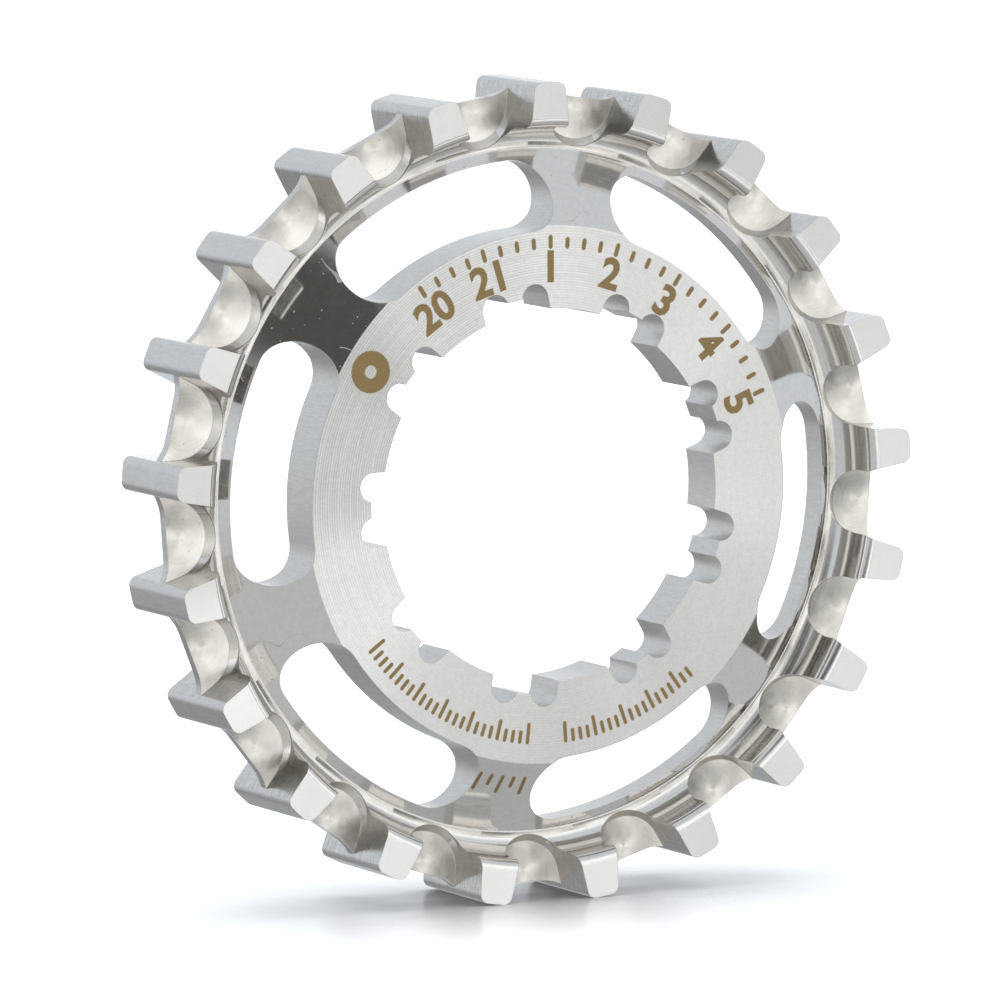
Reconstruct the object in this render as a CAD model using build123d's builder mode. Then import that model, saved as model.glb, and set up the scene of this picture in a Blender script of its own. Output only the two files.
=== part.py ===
from build123d import *
from math import cos, pi, radians, sin, sqrt
import os

os.makedirs("parts", exist_ok=True)

# Driving sizes in mm and degrees.
# The bore axis is Y and the marked front faces -Y.
# The first tooth points to +Z, and Y is 0 at mid-width.

# Belt and rim
teeth = 21
belt_pitch = 11.0
pitch_line_height = 1.015
rim_width = 11.1
tip_width = 2.9
flank_lean = 5.5
tip_rounding = 0.8
tooth_height = 5.63
fin_thickness = 1.0
fin_below_tip = 1.33
fin_flat = 3.8
fin_rise = 0.43
pocket_run_out = 0.65

# Rim underside, measured inward from the tooth tips
rim_depth = 3.95
foot_rounding = 0.9
groove_rounding = 2.0
groove_set_back = 4.4

# Web and hub
hub_face_r = 23.36
hub_thickness = 5.0
hub_back_r = 24.0
windows = 6
window_inner_r = 22.95
window_width = 5.93
window_span = 33.9
clocking_tooth = 5

# Splined bore
splines = 9
land_r = 16.21
slot_width = 6.4
slot_depth = 1.09
relief_r = 1.25
relief_set_in = 0.25

# Straight runs that stand for each quarter of a turned rounding
groove_runs = 3
foot_runs = 2

# Sizes that follow from the ones above
pitch_r = teeth * belt_pitch / (2 * pi)
tip_r = pitch_r - pitch_line_height
blank_r = tip_r + 1.0
half_width = rim_width / 2
pitch_angle = 360 / teeth
datum_angle = 90 - (clocking_tooth - 1) * pitch_angle

rim_inner_r = tip_r - rim_depth
foot_r = rim_inner_r + foot_rounding
foot_y = foot_rounding - half_width
groove_r = rim_inner_r - groove_rounding
groove_y = groove_set_back - groove_rounding - half_width
hub_back_y = hub_thickness - half_width
slot_bottom_r = land_r + slot_depth
relief_centre_r = slot_bottom_r - relief_set_in

# The flank of a gap, as a line at a set distance from the axis.
# A gap is drawn pointing along +Y of its sketch.
gap_angle = radians(pitch_angle / 2 + flank_lean)
across = Vector(cos(gap_angle), -sin(gap_angle))
along = Vector(sin(gap_angle), cos(gap_angle))
lean = radians(flank_lean)
flank_offset = -(tip_width / 2) * cos(lean) - tip_r * sin(lean)
flank_top = across * flank_offset + along * (blank_r + 1)

# The bottom of a gap, and where it ends on the floor beside the fin
gap_bottom_r = tip_r - tooth_height
floor_bottom_r = gap_bottom_r + pocket_run_out

# The rounding between a flank and the tip, tangent to both
round_offset = flank_offset + tip_rounding
round_reach = sqrt((tip_r - tip_rounding) ** 2 - round_offset**2)
round_centre = across * round_offset + along * round_reach
flank_end = round_centre - across * tip_rounding
tip_point = round_centre * (tip_r / (tip_r - tip_rounding))
round_middle = round_centre + (round_centre.normalized() - across).normalized() * tip_rounding
next_tip_point = Vector(-tip_point.X, tip_point.Y).rotate(Axis.Z, -pitch_angle)
tooth_middle = Vector(0, tip_r).rotate(Axis.Z, -pitch_angle / 2)

# The edge of the fin: flat in the middle, rising to each flank
fin_y = tip_r - fin_below_tip
fin_end_y = fin_y + fin_rise
fin_end_x = (flank_offset + fin_end_y * sin(gap_angle)) / cos(gap_angle)


def mirrored(point):
    return Vector(-point.X, point.Y)


def round_bottom(bottom_r):
    """The ends and the middle of a gap's bottom arc, tangent to both flanks."""
    radius = (bottom_r * sin(gap_angle) + flank_offset) / (1 - sin(gap_angle))
    end = Vector(0, bottom_r + radius) + across * radius
    return mirrored(end), Vector(0, bottom_r), end


def turned_rounding(middle, radius, start, end, runs):
    """Points along a rounding of the turned section, from one angle to another."""
    angles = [radians(start + (end - start) * k / runs) for k in range(runs + 1)]
    return [(middle[0] + radius * cos(a), middle[1] + radius * sin(a)) for a in angles]


# The front of the turned section, from the web out to the blank's edge
rim_front = [
    *turned_rounding((groove_r, groove_y), groove_rounding, 90, 0, groove_runs),
    *turned_rounding((foot_r, foot_y), foot_rounding, 180, 270, foot_runs),
    (blank_r, -half_width),
]
rim_back = [(r, -y) for r, y in reversed(rim_front)]

# One pitch of the outline at mid-width, from tip to tip
with BuildLine() as one_pitch:
    ThreePointArc(mirrored(tip_point), mirrored(round_middle), mirrored(flank_end))
    Line(mirrored(flank_end), (-fin_end_x, fin_end_y))
    TangentArc((-fin_flat / 2, fin_y), (-fin_end_x, fin_end_y), tangent=(-1, 0))
    Line((-fin_flat / 2, fin_y), (fin_flat / 2, fin_y))
    TangentArc((fin_flat / 2, fin_y), (fin_end_x, fin_end_y), tangent=(1, 0))
    Line((fin_end_x, fin_end_y), flank_end)
    ThreePointArc(flank_end, round_middle, tip_point)
    ThreePointArc(tip_point, tooth_middle, next_tip_point)

# The pocket on one side of the fin. Its flanks are straight, and its bottom runs out to the floor.
with BuildPart() as pocket:
    floor_z = fin_thickness / 2
    for height, bottom_r in ((floor_z, floor_bottom_r), (floor_z + pocket_run_out, gap_bottom_r)):
        start, middle, end = round_bottom(bottom_r)
        with BuildSketch(Plane.XY.offset(height)):
            with BuildLine():
                Line(mirrored(flank_top), start)
                ThreePointArc(start, middle, end)
                Line(end, flank_top)
                Line(flank_top, mirrored(flank_top))
            make_face()
    loft(ruled=True)
    extrude(pocket.faces().sort_by(Axis.Z)[-1], amount=half_width)

with BuildPart(Plane.XZ) as sprocket:
    # The turned blank
    with BuildSketch(Plane.XY):
        with BuildLine():
            Polyline(
                (land_r, hub_back_y),
                (land_r, -half_width),
                (hub_face_r, -half_width),
                *rim_front,
                *rim_back,
                (hub_back_r, hub_back_y),
                close=True,
            )
        make_face()
    revolve(axis=Axis.Y)

    # The teeth and the edge of the fin, cut right across the rim
    with BuildSketch(Plane.XZ):
        with BuildLine():
            with PolarLocations(0, teeth, start_angle=pitch_angle / 2):
                add(one_pitch.line)
        make_face()
    extrude(amount=rim_width, both=True, mode=Mode.INTERSECT)

    # The pockets on each side of the fin
    with PolarLocations(0, teeth, start_angle=pitch_angle / 2):
        add(pocket.part, mode=Mode.SUBTRACT)
        add(pocket.part.rotate(Axis.Y, 180), mode=Mode.SUBTRACT)

    # The windows between the spokes
    with BuildSketch(Plane.XZ):
        with BuildLine(mode=Mode.PRIVATE) as window_line:
            CenterArc((0, 0), window_inner_r + window_width / 2, -window_span / 2, window_span)
        with PolarLocations(0, windows, start_angle=datum_angle + 180 / windows):
            SlotArc(window_line.edge(), window_width)
    extrude(amount=rim_width, both=True, mode=Mode.SUBTRACT)

    # The spline slots, each with a relief in its corners
    with BuildSketch(Plane.XZ):
        relief_x = slot_width / 2 - relief_r
        bump_x = relief_x - sqrt(relief_r**2 - relief_set_in**2)
        relief_top = relief_centre_r + relief_r
        with BuildSketch(mode=Mode.PRIVATE) as spline:
            with BuildLine():
                Line((slot_width / 2, land_r - 2), (slot_width / 2, relief_centre_r))
                ThreePointArc(
                    (slot_width / 2, relief_centre_r), (relief_x, relief_top), (bump_x, slot_bottom_r)
                )
                Line((bump_x, slot_bottom_r), (-bump_x, slot_bottom_r))
                ThreePointArc(
                    (-bump_x, slot_bottom_r), (-relief_x, relief_top), (-slot_width / 2, relief_centre_r)
                )
                Line((-slot_width / 2, relief_centre_r), (-slot_width / 2, land_r - 2))
                Line((-slot_width / 2, land_r - 2), (slot_width / 2, land_r - 2))
            make_face()
        with PolarLocations(0, splines, start_angle=datum_angle - 90):
            add(spline.sketch)
    extrude(amount=rim_width, both=True, mode=Mode.SUBTRACT)

sprocket.part.label = "sprocket"
export_step(sprocket.part, "parts/sprocket.step")
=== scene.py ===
import math

import bmesh
import bpy
from mathutils import Matrix, Vector


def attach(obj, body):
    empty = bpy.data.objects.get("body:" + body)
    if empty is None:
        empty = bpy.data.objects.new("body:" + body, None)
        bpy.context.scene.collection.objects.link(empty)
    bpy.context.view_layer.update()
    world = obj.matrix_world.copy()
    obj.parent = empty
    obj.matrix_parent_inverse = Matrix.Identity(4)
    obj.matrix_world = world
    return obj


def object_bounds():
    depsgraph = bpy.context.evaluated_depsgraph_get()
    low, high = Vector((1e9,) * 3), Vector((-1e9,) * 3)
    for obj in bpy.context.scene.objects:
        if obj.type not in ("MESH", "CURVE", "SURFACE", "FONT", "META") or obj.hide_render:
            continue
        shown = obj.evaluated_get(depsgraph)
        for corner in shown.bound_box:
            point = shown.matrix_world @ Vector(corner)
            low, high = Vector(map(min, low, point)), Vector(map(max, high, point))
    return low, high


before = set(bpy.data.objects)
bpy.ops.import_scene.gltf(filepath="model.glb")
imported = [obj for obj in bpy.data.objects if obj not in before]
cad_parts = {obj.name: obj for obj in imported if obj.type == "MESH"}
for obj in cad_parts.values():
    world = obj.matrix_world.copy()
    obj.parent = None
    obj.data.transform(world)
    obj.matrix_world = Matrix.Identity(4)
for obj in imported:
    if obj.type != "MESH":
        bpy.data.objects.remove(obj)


def plain(bounds):
    return [[float(v) for v in corner] for corner in bounds]


cad_bounds = plain(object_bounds())
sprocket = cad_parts["sprocket"]
scene = bpy.context.scene
scene.view_settings.view_transform = "Standard"
MM = 0.001

# Sizes of the part in millimetres, as its source has them. A depth runs from mid-width.
teeth = 21
tooth_step = math.tau / teeth
front_depth = 5.55
hub_face_r = 23.36
web_edge_r = 29.785
web_fall = 4.4
groove_middle = (29.785, 3.15)
foot_middle = (32.685, 4.65)


# Camera: a long lens from the left and a little above, as in the photograph
camera_place = Vector((-0.4109, -0.7938, 0.0983))
camera_right = Vector((0.8890, -0.4578, 0.0))
camera_up = Vector((0.0505, 0.0981, 0.9939))
camera_back = Vector((-0.4550, -0.8836, 0.1104))
camera_data = bpy.data.cameras.new("camera")
camera_data.lens = 372.64
camera_data.sensor_width = 36.0
camera_data.clip_start = 0.01
camera_data.clip_end = 50.0
camera = bpy.data.objects.new("camera", camera_data)
camera_turn = Matrix((camera_right, camera_up, camera_back)).transposed()
camera.matrix_world = Matrix.Translation(camera_place) @ camera_turn.to_4x4()
scene.collection.objects.link(camera)
scene.camera = camera


class Graph:
    """Node helpers. A value may be a number, a tuple or another node's output."""

    def __init__(self, tree):
        self.tree = tree

    def node(self, kind, **settings):
        node = self.tree.nodes.new(kind)
        for name, value in settings.items():
            setattr(node, name, value)
        return node

    def feed(self, socket, value):
        if isinstance(value, bpy.types.NodeSocket):
            self.tree.links.new(value, socket)
        else:
            socket.default_value = value

    def math(self, operation, *values):
        node = self.node("ShaderNodeMath", operation=operation)
        for socket, value in zip(node.inputs, values):
            self.feed(socket, value)
        return node.outputs[0]

    def vector(self, operation, *values):
        node = self.node("ShaderNodeVectorMath", operation=operation)
        for socket, value in zip(node.inputs, values):
            self.feed(socket, value)
        return node.outputs["Value" if operation in ("DOT_PRODUCT", "LENGTH") else "Vector"]

    def scaled(self, vector, factor):
        node = self.node("ShaderNodeVectorMath", operation="SCALE")
        self.feed(node.inputs[0], vector)
        self.feed(node.inputs["Scale"], factor)
        return node.outputs["Vector"]

    def split(self, vector):
        node = self.node("ShaderNodeSeparateXYZ")
        self.feed(node.inputs[0], vector)
        return node.outputs

    def join(self, x, y, z):
        node = self.node("ShaderNodeCombineXYZ")
        for socket, value in zip(node.inputs, (x, y, z)):
            self.feed(socket, value)
        return node.outputs[0]

    def above(self, value, limit):
        return self.math("GREATER_THAN", value, limit)

    def below(self, value, limit):
        return self.math("LESS_THAN", value, limit)

    def times(self, a, b):
        return self.math("MULTIPLY", a, b)

    def every(self, *masks):
        result = masks[0]
        for mask in masks[1:]:
            result = self.times(result, mask)
        return result

    def sum_of(self, start, *terms):
        """The start plus each term, which is a wave and its share."""
        total = start
        for wave, share in terms:
            total = self.math("MULTIPLY_ADD", wave, share, total)
        return total

    def ramp(self, value, low, high, out_low=0.0, out_high=1.0):
        node = self.node("ShaderNodeMapRange", interpolation_type="SMOOTHSTEP")
        for name, given in (("Value", value), ("From Min", low), ("From Max", high),
                            ("To Min", out_low), ("To Max", out_high)):
            self.feed(node.inputs[name], given)
        return node.outputs[0]

    def spread(self, noise, out_low, out_high):
        """A noise brought from the middle of its range to a range of its own."""
        return self.ramp(noise, 0.3, 0.7, out_low, out_high)

    def cone_share(self, direction, axis, inner, outer, amount=1.0):
        """The amount within an inner angle of an axis, fading to nothing at the outer one."""
        along = self.vector("DOT_PRODUCT", direction, axis)
        far, near = math.cos(math.radians(outer)), math.cos(math.radians(inner))
        return self.ramp(along, far, near, 0.0, amount)

    def mix(self, factor, a, b):
        node = self.node("ShaderNodeMix", data_type="RGBA")
        for index, value in ((0, factor), (6, a), (7, b)):
            self.feed(node.inputs[index], value)
        return node.outputs[2]

    def blend(self, factor, a, b):
        node = self.node("ShaderNodeMix", data_type="FLOAT")
        for index, value in ((0, factor), (2, a), (3, b)):
            self.feed(node.inputs[index], value)
        return node.outputs[0]

    def blend_vectors(self, factor, a, b):
        node = self.node("ShaderNodeMix", data_type="VECTOR")
        for index, value in ((0, factor), (4, a), (5, b)):
            self.feed(node.inputs[index], value)
        return node.outputs[1]

    def noise(self, place, scale, detail=2.0, roughness=0.5):
        node = self.node("ShaderNodeTexNoise", noise_dimensions="3D")
        for name, given in (("Vector", place), ("Scale", scale),
                            ("Detail", detail), ("Roughness", roughness)):
            self.feed(node.inputs[name], given)
        return node.outputs[0]

    def cells(self, place, scale):
        node = self.node("ShaderNodeTexVoronoi")
        self.feed(node.inputs["Vector"], place)
        self.feed(node.inputs["Scale"], scale)
        return node.outputs

    def rounded_edges(self, radius, normal=None):
        """The normal with edges rounded to the eye, for a radius in millimetres."""
        node = self.node("ShaderNodeBevel", samples=4)
        node.inputs["Radius"].default_value = radius * MM
        if normal is not None:
            self.feed(node.inputs["Normal"], normal)
        return node.outputs[0]


def new_material(name):
    material = bpy.data.materials.new(name)
    material.use_nodes = True
    return material, Graph(material.node_tree), material.node_tree.nodes["Principled BSDF"].inputs


def toward(azimuth, elevation):
    """A direction. Azimuth 0 is out of the marked face, and 90 is to the right."""
    a, e = math.radians(azimuth), math.radians(elevation)
    return (math.sin(a) * math.cos(e), -math.cos(a) * math.cos(e), math.sin(e))


# World: white to the eye. In reflections it is a pale studio, with bright walls in front and
# to the left, a darker table below, and the dark of the room above the camera.
table_tint, ceiling_tint = (0.69, 0.715, 0.755, 1), (0.845, 0.90, 0.985, 1)
table_top, ceiling_start = -0.35, 0.1
# The steel is a little warm. The zones are cooler by as much, so one reflection is neutral
# and a second one is warm.
cooler = (0.965, 1.0, 1.055)
# Azimuth, elevation, inner radius and outer radius in degrees, and colour.
# A later zone lies over the earlier ones.
zones = (
    (165, 4, 25, 60, (0.81, 0.84, 0.87)),
    (153, 9, 6, 16, (1.22, 1.22, 1.22)),
    (-165, -42, 18, 42, (0.36, 0.36, 0.36)),
    (25, -75, 16, 30, (0.56, 0.57, 0.57)),
    (68, -50, 10, 22, (0.60, 0.60, 0.59)),
    (24, 0, 27, 45, (1.55, 1.55, 1.54)),
    (15, -34, 10, 20, (1.30, 1.29, 1.27)),
    (78, -8, 7, 15, (0.45, 0.45, 0.44)),
    (19, -13, 4, 9, (0.75, 0.75, 0.74)),
    (41, -12, 8, 12, (0.06, 0.06, 0.06)),
    (56, -17, 6, 12, (0.30, 0.30, 0.30)),
    (-88, 10, 10, 18, (1.40, 1.40, 1.38)),
    (-8, 5, 5, 14, (0.50, 0.49, 0.48)),
    (-24, 17, 9, 19, (0.17, 0.165, 0.16)),
    (-36, 37, 9, 19, (0.11, 0.106, 0.10)),
)
world = bpy.data.worlds.new("world")
scene.world = world
world.use_nodes = True
world.node_tree.nodes.clear()
g = Graph(world.node_tree)
direction = g.node("ShaderNodeTexCoord").outputs["Generated"]
up = g.split(direction)[2]
colour = g.mix(g.ramp(up, table_top, ceiling_start), table_tint, ceiling_tint)
for azimuth, elevation, inner, outer, tint in zones:
    share = g.cone_share(direction, toward(azimuth, elevation), inner, outer)
    colour = g.mix(share, colour, (*(t * c for t, c in zip(tint, cooler)), 1))
seen = g.node("ShaderNodeLightPath").outputs["Is Camera Ray"]
background = g.node("ShaderNodeBackground")
g.feed(background.inputs["Color"], g.mix(seen, colour, (1, 1, 1, 1)))
g.feed(g.node("ShaderNodeOutputWorld").inputs["Surface"], background.outputs[0])


# A softbox above, which gives the floor its shadow and isn't seen in the steel
softbox_away = Vector(toward(100, 78))
softbox_distance, softbox_size, softbox_radiance = 0.9, 0.5, 1.6
lamp = bpy.data.lights.new("softbox_top", "AREA")
lamp.shape = "SQUARE"
lamp.size = softbox_size
lamp.energy = softbox_radiance * math.pi * softbox_size * softbox_size
lamp.color = (1.0, 0.985, 0.96)
softbox = bpy.data.objects.new("softbox_top", lamp)
softbox_turn = softbox_away.to_track_quat("Z", "Y").to_matrix().to_4x4()
softbox.matrix_world = Matrix.Translation(softbox_away * softbox_distance) @ softbox_turn
softbox.visible_glossy = False
scene.collection.objects.link(softbox)


# Floor: a smooth white table under the lowest teeth. It glows a little to the camera only,
# so that it is as white as the background. Its colour and glow are darkened by ambient occlusion
# where the object stands close over it, a painted contact shadow.
floor_z = cad_bounds[0][2]
floor_half = 4.0
shadow_reach, shadow_depth = 0.03, 2.1
floor_glow = 0.50
floor_mesh = bpy.data.meshes.new("floor")
floor_corners = [(a * floor_half, b * floor_half, floor_z)
                 for a, b in ((-1, -1), (1, -1), (1, 1), (-1, 1))]
floor_mesh.from_pydata(floor_corners, [], [(0, 1, 2, 3)])
floor = bpy.data.objects.new("floor", floor_mesh)
scene.collection.objects.link(floor)
floor.visible_glossy = False
table, g, shader = new_material("table")
near = g.node("ShaderNodeAmbientOcclusion", samples=5)
near.inputs["Distance"].default_value = shadow_reach
open_share = g.math("POWER", near.outputs["AO"], shadow_depth)
seen = g.node("ShaderNodeLightPath").outputs["Is Camera Ray"]
shader["Roughness"].default_value = 0.3
shader["Specular IOR Level"].default_value = 0.5
shader["Emission Color"].default_value = (1, 1, 1, 1)
# Painted contact shadow: the base colour and the glow are darkened by ambient occlusion near the
# object
g.feed(shader["Base Color"], g.scaled((0.86, 0.85, 0.84), open_share))
g.feed(shader["Emission Strength"], g.every(seen, open_share, floor_glow))
floor_mesh.materials.append(table)


# Stainless steel. One material finds each machined face from its place and its normal.
# Places, radii, depths and heights are in millimetres.
steel, g, shader = new_material("stainless")
place = g.scaled(g.node("ShaderNodeTexCoord").outputs["Object"], 1 / MM)
normal = g.node("ShaderNodeNewGeometry").outputs["Normal"]
x, y, z = g.split(place)
ny = g.split(normal)[1]
r = g.vector("LENGTH", g.join(x, 0.0, z))
out_x, out_z = g.math("DIVIDE", x, r), g.math("DIVIDE", z, r)
outward = g.join(out_x, 0.0, out_z)
round_about = g.join(g.times(out_z, -1.0), 0.0, out_x)
n_out = g.vector("DOT_PRODUCT", normal, outward)
n_round = g.math("ABSOLUTE", g.vector("DOT_PRODUCT", normal, round_about))
n_axis = g.math("ABSOLUTE", ny)
depth = g.math("ABSOLUTE", y)
side = g.math("SIGN", y)

# Kinds of face by the share of their normal along the axis, round it or outward
flat_from, wall_to, turned_to = 0.985, 0.1, 0.03
leaning, facing = 0.1, 0.6
turned = g.below(n_round, turned_to)
flat = g.above(n_axis, flat_from)
wall = g.below(n_axis, wall_to)

# Radii and depths between the faces, each a little clear of the edge that it stands for
hub_end, web_start, web_end = 24.1, 23.2, 29.9
cut_end, flank_start, tooth_end_start, tip_start = 28.95, 30.1, 31.0, 35.0
under_rim_start, under_rim_end = 29.6, 32.9
tooth_end_from, pocket_floor_to = 5.0, 1.3
slack = 0.01
hub = g.every(flat, g.below(r, hub_end))
tooth_end = g.every(flat, g.above(r, tooth_end_start), g.above(depth, tooth_end_from))
pocket_floor = g.every(g.above(n_axis, facing), g.above(r, web_end),
                       g.below(depth, pocket_floor_to))
web = g.every(turned, g.below(r, web_end), g.above(r, web_start),
              g.above(n_out, leaning), g.below(n_axis, flat_from))
tip = g.every(wall, g.above(r, tip_start), g.above(n_out, facing))
cut = g.every(wall, g.below(r, cut_end))
under_rim = g.every(turned, g.below(n_out, -leaning),
                    g.above(r, under_rim_start), g.below(r, under_rim_end))
groove = g.every(under_rim, g.below(depth, groove_middle[1] + slack))
foot = g.every(under_rim, g.above(depth, foot_middle[1] - slack))
rim = g.math("MAXIMUM", groove, foot)
flank = g.every(wall, g.above(r, flank_start),
                g.math("SUBTRACT", 1.0, tip), g.math("SUBTRACT", 1.0, rim))


def rounded(middle, limit_across, limit_along, sign):
    """The true normal of a turned rounding, which the part draws as straight runs."""
    across = g.math(limit_across, g.math("SUBTRACT", r, middle[0]), 0.0)
    along = g.math(limit_along, g.math("SUBTRACT", depth, middle[1]), 0.0)
    reach = g.times(g.vector("LENGTH", g.join(across, along, 0.0)), sign)
    share_side = g.times(g.math("DIVIDE", along, reach), side)
    share_out = g.scaled(outward, g.math("DIVIDE", across, reach))
    return g.vector("ADD", share_out, g.join(0.0, share_side, 0.0))


groove_normal = rounded(groove_middle, "MAXIMUM", "MINIMUM", -1.0)
foot_normal = rounded(foot_middle, "MINIMUM", "MAXIMUM", 1.0)
smooth = g.blend_vectors(groove, normal, groove_normal)
smooth = g.blend_vectors(foot, smooth, foot_normal)

# Turned lines, milled lines, grain and clouds
feed = 0.23
turned_noise = g.noise(g.join(r, depth, side), 6.0, 3.0, 0.75)
feed_phase = g.math("MULTIPLY_ADD", r, math.tau / feed, g.times(turned_noise, 3.0))
feed_lines = g.math("SINE", feed_phase)
turned_lines = g.math("MULTIPLY_ADD", feed_lines, 0.16,
                      g.math("MULTIPLY_ADD", turned_noise, 0.75, 0.125))
milled_place = g.join(g.times(x, 5.0), g.times(y, 0.35), g.times(z, 5.0))
milled_lines = g.noise(milled_place, 1.6, 3.0, 0.6)
grain = g.noise(place, 9.0, 3.0, 0.75)
clouds = g.noise(place, 0.45, 2.0, 0.5)

# Places in the pockets: the turn counted in teeth, and the distance from the pocket's middle
pocket_middle_r = 33.36
painted_sheen_middle_r = 36.6
turns = g.math("DIVIDE", g.math("SUBTRACT", g.math("ARCTAN2", z, x), math.pi / 2), tooth_step)
gap = g.math("FLOOR", turns)
off_middle = g.times(g.math("SUBTRACT", g.math("FRACT", turns), 0.5), g.times(r, tooth_step))
off_radius = g.math("SUBTRACT", r, pocket_middle_r)
from_middle = g.vector("LENGTH", g.join(off_middle, off_radius, 0.0))
dish = g.times(from_middle, from_middle)
swirl = g.noise(g.join(from_middle, gap, 0.0), 6.0, 3.0, 0.7)
swirl_along = g.vector("ADD", g.scaled(round_about, g.times(off_radius, -1.0)),
                       g.scaled(outward, off_middle))
# Painted sheen on the pocket floors: bright and dark fans round a point beyond the tooth tip, for
# the highlights of the milled swirl
around_middle = g.math("ARCTAN2", g.math("SUBTRACT", r, painted_sheen_middle_r), off_middle)
pocket_painted_sheen = g.math("SINE", g.math("MULTIPLY_ADD", clouds, 5.0, g.times(around_middle, 4.6)))

# Heights of the finish on each face
height = g.sum_of(
    0.0,
    (turned_lines, g.times(hub, 0.006)),
    (turned_noise, g.times(g.math("ADD", rim, web), 0.0005)),
    (milled_lines, g.times(wall, 0.005)),
    (grain, g.times(g.math("ADD", hub, tooth_end), 0.004)),
    (dish, g.times(pocket_floor, 0.022)),
    (clouds, g.times(pocket_floor, 0.035)),
    (swirl, g.times(pocket_floor, 0.0015)),
)
bump = g.node("ShaderNodeBump")
bump.inputs["Strength"].default_value = 1.0
bump.inputs["Distance"].default_value = MM
g.feed(bump.inputs["Height"], height)
g.feed(bump.inputs["Normal"], smooth)

# Hairline scratches on the bright web, most on the spoke that looks dark, and specks of wear
scratch_line = g.math("ABSOLUTE", g.math("SUBTRACT", g.noise(place, 0.16, 1.0, 0.5), 0.5))
scratch_half, scratch_more = 0.0008, 0.004
scratched = g.above(g.noise(place, 0.3, 1.0), 0.56)
dark_spoke = g.every(g.below(x, -13.0), g.above(z, 8.0), g.below(y, 0.0))
scratch_width = g.math("MULTIPLY_ADD", dark_spoke, scratch_more, scratch_half)
scratch = g.every(web, scratched, g.below(scratch_line, scratch_width))
specks_per_mm = 1.9
speck_largest = 0.09
speck_cells = g.cells(place, specks_per_mm)
speck_chance, speck_random = g.split(speck_cells["Color"])[:2]
chosen = g.above(speck_chance, g.math("MULTIPLY_ADD", dark_spoke, -0.4, 0.72))
speck_r = g.math("DIVIDE", speck_cells["Distance"], specks_per_mm)
speck = g.every(g.math("ADD", web, g.math("ADD", hub, pocket_floor)), chosen,
                g.below(speck_r, g.times(speck_random, speck_largest)))
worn = g.math("MAXIMUM", scratch, g.times(speck, web))

# Roughness of each face
roughness = 0.18
for mask, value in ((hub, 0.31), (web, 0.09), (rim, 0.18), (tooth_end, 0.40),
                    (cut, 0.36), (tip, 0.30), (pocket_floor, 0.25)):
    roughness = g.blend(mask, roughness, value)
roughness = g.math("ADD", roughness, g.spread(g.noise(place, 1.3, 3.0), -0.02, 0.02))
roughness = g.sum_of(roughness, (g.math("SUBTRACT", turned_noise, 0.5), g.times(rim, 0.12)))
roughness = g.blend(worn, roughness, 0.55)

# Colour: steel between two tones, paler on the tooth ends and warmer in the pockets
steel_dark, steel_light = (0.630, 0.606, 0.568, 1), (0.665, 0.640, 0.600, 1)
tooth_end_tone, pocket_tone = (0.700, 0.674, 0.632, 1), (0.610, 0.575, 0.510, 1)
colour = g.mix(g.spread(g.noise(place, 2.2, 3.0), 0.0, 1.0), steel_dark, steel_light)
colour = g.mix(tooth_end, colour, tooth_end_tone)
colour = g.mix(pocket_floor, colour, pocket_tone)


def axis_at(turn):
    a = math.radians(turn)
    return (math.cos(a), 0.0, math.sin(a))


def painted_sheen_round_axis(start, *bumps):
    """A painted sheen: a tone that varies round the axis, lighter and darker where the fan-shaped
    highlights of turned steel fall. A bump is its turn, outer and inner angle, and amount.
    """
    total = start
    for turn, outer, inner, amount in bumps:
        total = g.math("ADD", total, g.cone_share(outward, axis_at(turn), inner, outer, amount))
    return total


# Painted sheen of the hub: its tone is lighter and darker round the axis, as the turned face
# catches more or less light
hub_painted_sheen = painted_sheen_round_axis(-0.03, (162, 32, 10, -0.21), (204, 24, 8, 0.06), (64, 42, 18, 0.17),
               (132, 26, 8, -0.08), (-38, 32, 10, -0.12), (-125, 40, 18, 0.11))
# Painted sheen of the tooth ends: their tone is lighter or darker by where they stand round the
# axis
tooth_end_painted_sheen = painted_sheen_round_axis(0.0, (-118, 56, 40, 0.24), (-108, 26, 14, 0.12), (178, 22, 8, -0.11))

# Shade: the lines of the hub are plainest at its upper left, and the grain at its right.
# The shade also carries painted sheen on the hub, the tooth ends and the pocket floors.
lined_side = g.vector("DOT_PRODUCT", outward, axis_at(150))
line_depth = g.ramp(lined_side, -0.2, 0.9, 0.25, 1.35)
streak_place = g.join(g.times(r, 0.7), g.times(y, 4.0), gap)
shade = g.sum_of(
    1.0,
    (g.spread(turned_lines, -0.075, 0.075), g.times(hub, line_depth)),
    (hub_painted_sheen, hub),
    (tooth_end_painted_sheen, tooth_end),
    (g.spread(grain, -0.07, 0.07), g.math("MULTIPLY_ADD", hub, 1.4, tooth_end)),
    (g.spread(swirl, -0.04, 0.04), pocket_floor),
    (g.times(pocket_painted_sheen, 0.13), pocket_floor),
    (g.spread(milled_lines, -0.06, 0.06), wall),
    (g.spread(g.noise(streak_place, 1.0, 3.0, 0.7), -0.16, 0.08), flank),
    (g.times(speck, g.math("ADD", hub, pocket_floor)), -0.25),
)

shader["Metallic"].default_value = 1.0
shader["Anisotropic"].default_value = 0.75
g.feed(shader["Tangent"], g.blend_vectors(pocket_floor, round_about, swirl_along))
g.feed(shader["Base Color"], g.scaled(colour, shade))
g.feed(shader["Roughness"], roughness)
g.feed(shader["Normal"], g.rounded_edges(0.10, bump.outputs[0]))
for slot in sprocket.material_slots:
    slot.material = steel


# Laser marks: a plain scale that numbers the teeth, an index mark, and fine scales below.
# They are thin plates, sunk a little into the steel and a little proud of it.
proud, sunk = 0.012, 0.03
web_rise = web_fall / (web_edge_r - hub_face_r)


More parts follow.
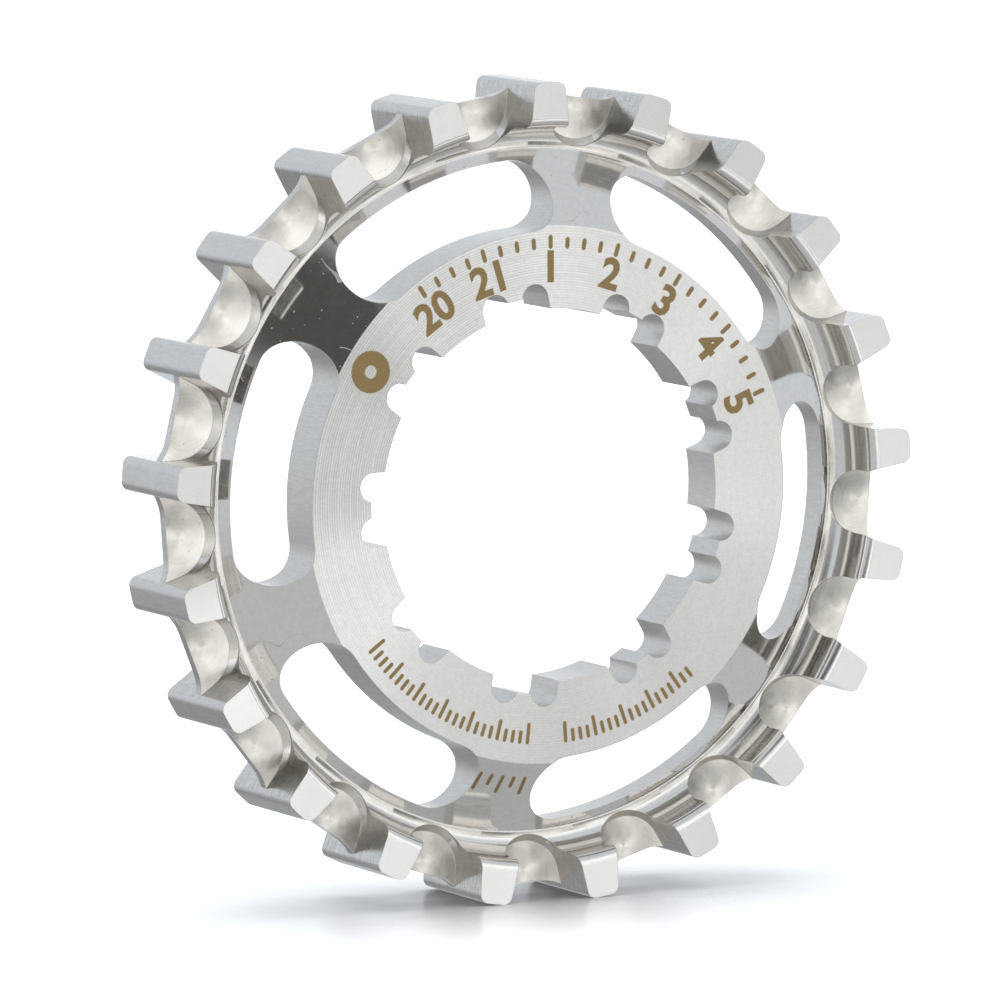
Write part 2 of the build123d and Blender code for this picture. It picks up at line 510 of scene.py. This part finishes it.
def on_front(radius, turn, lift):
    """A place over the front of the hub or the web. The turn runs from +X toward +Z."""
    normal_out, normal_front, y_face = 0.0, 1.0, -front_depth
    if radius > hub_face_r:
        length = math.hypot(web_rise, 1.0)
        normal_out, normal_front = web_rise / length, 1.0 / length
        y_face += (radius - hub_face_r) * web_rise
    reach = radius + normal_out * lift
    place_y = y_face - normal_front * lift
    return Vector((reach * math.cos(turn), place_y, reach * math.sin(turn))) * MM


def around(count):
    return ((k, (k + 1) % count) for k in range(count))


def plate(mesh, outline, hole=None):
    """A closed plate over an outline, given as radius and turn, with or without a hole."""

    def ring(points, lift):
        return [mesh.verts.new(on_front(radius, turn, lift)) for radius, turn in points]

    low, high = ring(outline, -sunk), ring(outline, proud)
    walls = [(low, high)]
    if hole is None:
        mesh.faces.new(high)
        mesh.faces.new(low[::-1])
    else:
        hole_low, hole_high = ring(hole, -sunk), ring(hole, proud)
        walls.append((hole_high, hole_low))
        for k, n in around(len(outline)):
            mesh.faces.new((high[k], high[n], hole_high[n], hole_high[k]))
            mesh.faces.new((hole_low[k], hole_low[n], low[n], low[k]))
    for start, end in walls:
        for k, n in around(len(start)):
            mesh.faces.new((start[k], start[n], end[n], end[k]))


def bar(mesh, turn, inner_r, outer_r, width, arc_steps=8):
    """A bar that points to the axis, with round ends."""
    half = width / 2
    points = []
    for start, middle_r in ((0.0, outer_r - half), (math.pi, inner_r + half)):
        for k in range(arc_steps + 1):
            a = start + math.pi * k / arc_steps
            points.append((half * math.cos(a), middle_r + half * math.sin(a)))
    plate(mesh, [(radius, turn - across / radius) for across, radius in points])


def circle(middle_r, turn, radius, count=48):
    """An outline round a point of the hub's face."""
    middle_x, middle_z = middle_r * math.cos(turn), middle_r * math.sin(turn)
    places = []
    for k in range(count):
        a = math.tau * k / count
        px, pz = middle_x + radius * math.cos(a), middle_z + radius * math.sin(a)
        places.append((math.hypot(px, pz), math.atan2(pz, px)))
    return places


marks = bmesh.new()
numbers = ("20", "21", "1", "2", "3", "4", "5")
first_turn = math.radians(90) + 2 * tooth_step

# Ticks over the numbers, four to a tooth
tick_inner_r, tick_outer_r, tick_long_r, tick_width = 21.35, 22.4, 22.6, 0.42
for quarter in range(4 * (len(numbers) - 1) + 1):
    turn = first_turn - quarter * tooth_step / 4
    bar(marks, turn, tick_inner_r, tick_outer_r if quarter % 4 else tick_long_r, tick_width)

# Two fine scales at the bottom: first and last turn, and the count of bars
scale_inner_r, scale_long_r, scale_outer_r, scale_width = 20.5, 19.8, 21.7, 0.36
for start, end, count in ((-144.0, -96.0, 25), (-86.0, -50.0, 19)):
    for k in range(count):
        turn = math.radians(start + (end - start) * k / (count - 1))
        inner_r = scale_inner_r if k % 4 else scale_long_r
        bar(marks, turn, inner_r, scale_outer_r, scale_width)

# Five bars on the lowest spoke
spoke_turn, spoke_step = -104.6, 2.5
spoke_inner_r, spoke_outer_r, spoke_long_r, spoke_width = 24.6, 25.7, 26.3, 0.34
for k in range(5):
    turn = math.radians(spoke_turn + spoke_step * k)
    bar(marks, turn, spoke_inner_r, spoke_outer_r if k % 2 else spoke_long_r, spoke_width)

# The index mark, a plain ring
index_r, index_turn, index_outer, index_inner = 20.8, math.radians(146.5), 1.85, 0.55
plate(marks, circle(index_r, index_turn, index_outer), circle(index_r, index_turn, index_inner))

# Plain numbers of the teeth, from the built-in font
number_size, number_r, number_weight = 3.7, 19.7, 0.14
for tooth, number in enumerate(numbers):
    text = bpy.data.curves.new("number", "FONT")
    text.body = number
    text.size = number_size * MM
    text.align_x = "CENTER"
    text.align_y = "CENTER"
    text.offset = number_weight * MM
    text.extrude = (proud + sunk) / 2 * MM
    text.resolution_u = 3
    holder = bpy.data.objects.new("number", text)
    scene.collection.objects.link(holder)
    turn = first_turn - tooth * tooth_step
    out = Vector((math.cos(turn), 0, math.sin(turn)))
    right = Vector((math.sin(turn), 0, -math.cos(turn)))
    axes = Matrix((right, out, Vector((0, -1, 0)))).transposed().to_4x4()
    middle = out * number_r * MM + Vector((0, -front_depth - (proud - sunk) / 2, 0)) * MM
    bpy.context.view_layer.update()
    evaluated = holder.evaluated_get(bpy.context.evaluated_depsgraph_get())
    shape = bpy.data.meshes.new_from_object(evaluated)
    shape.transform(Matrix.Translation(middle) @ axes)
    marks.from_mesh(shape)
    bpy.data.objects.remove(holder)
    bpy.data.meshes.remove(shape)
    bpy.data.curves.remove(text)
bmesh.ops.remove_doubles(marks, verts=marks.verts, dist=0.001 * MM)
bmesh.ops.triangulate(marks, faces=[f for f in marks.faces if len(f.verts) > 4])
bmesh.ops.recalc_face_normals(marks, faces=marks.faces)
marks_mesh = bpy.data.meshes.new("laser_marks")
marks.to_mesh(marks_mesh)
marks.free()
laser_marks = bpy.data.objects.new("laser_marks", marks_mesh)
scene.collection.objects.link(laser_marks)

# Bronze oxide of the marks: flecked, and paler along each edge
bronze, g, shader = new_material("laser_bronze")
bronze_dark, bronze_light = (0.235, 0.155, 0.058, 1), (0.310, 0.215, 0.090, 1)
bronze_edge = (0.50, 0.43, 0.30, 1)
place = g.scaled(g.node("ShaderNodeTexCoord").outputs["Object"], 1 / MM)
normal = g.node("ShaderNodeNewGeometry").outputs["Normal"]
turned_away = g.vector("DOT_PRODUCT", g.rounded_edges(0.10), normal)
edge_share = g.ramp(turned_away, 0.995, 0.90, 0.0, 1.0)
fleck = g.spread(g.noise(place, 10.0, 3.0, 0.7), 0.0, 1.0)
tan = g.mix(fleck, bronze_dark, bronze_light)
shader["Metallic"].default_value = 0.55
g.feed(shader["Base Color"], g.mix(edge_share, tan, bronze_edge))
g.feed(shader["Roughness"], g.blend(fleck, 0.50, 0.62))
laser_marks.data.materials.append(bronze)
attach(laser_marks, "root")
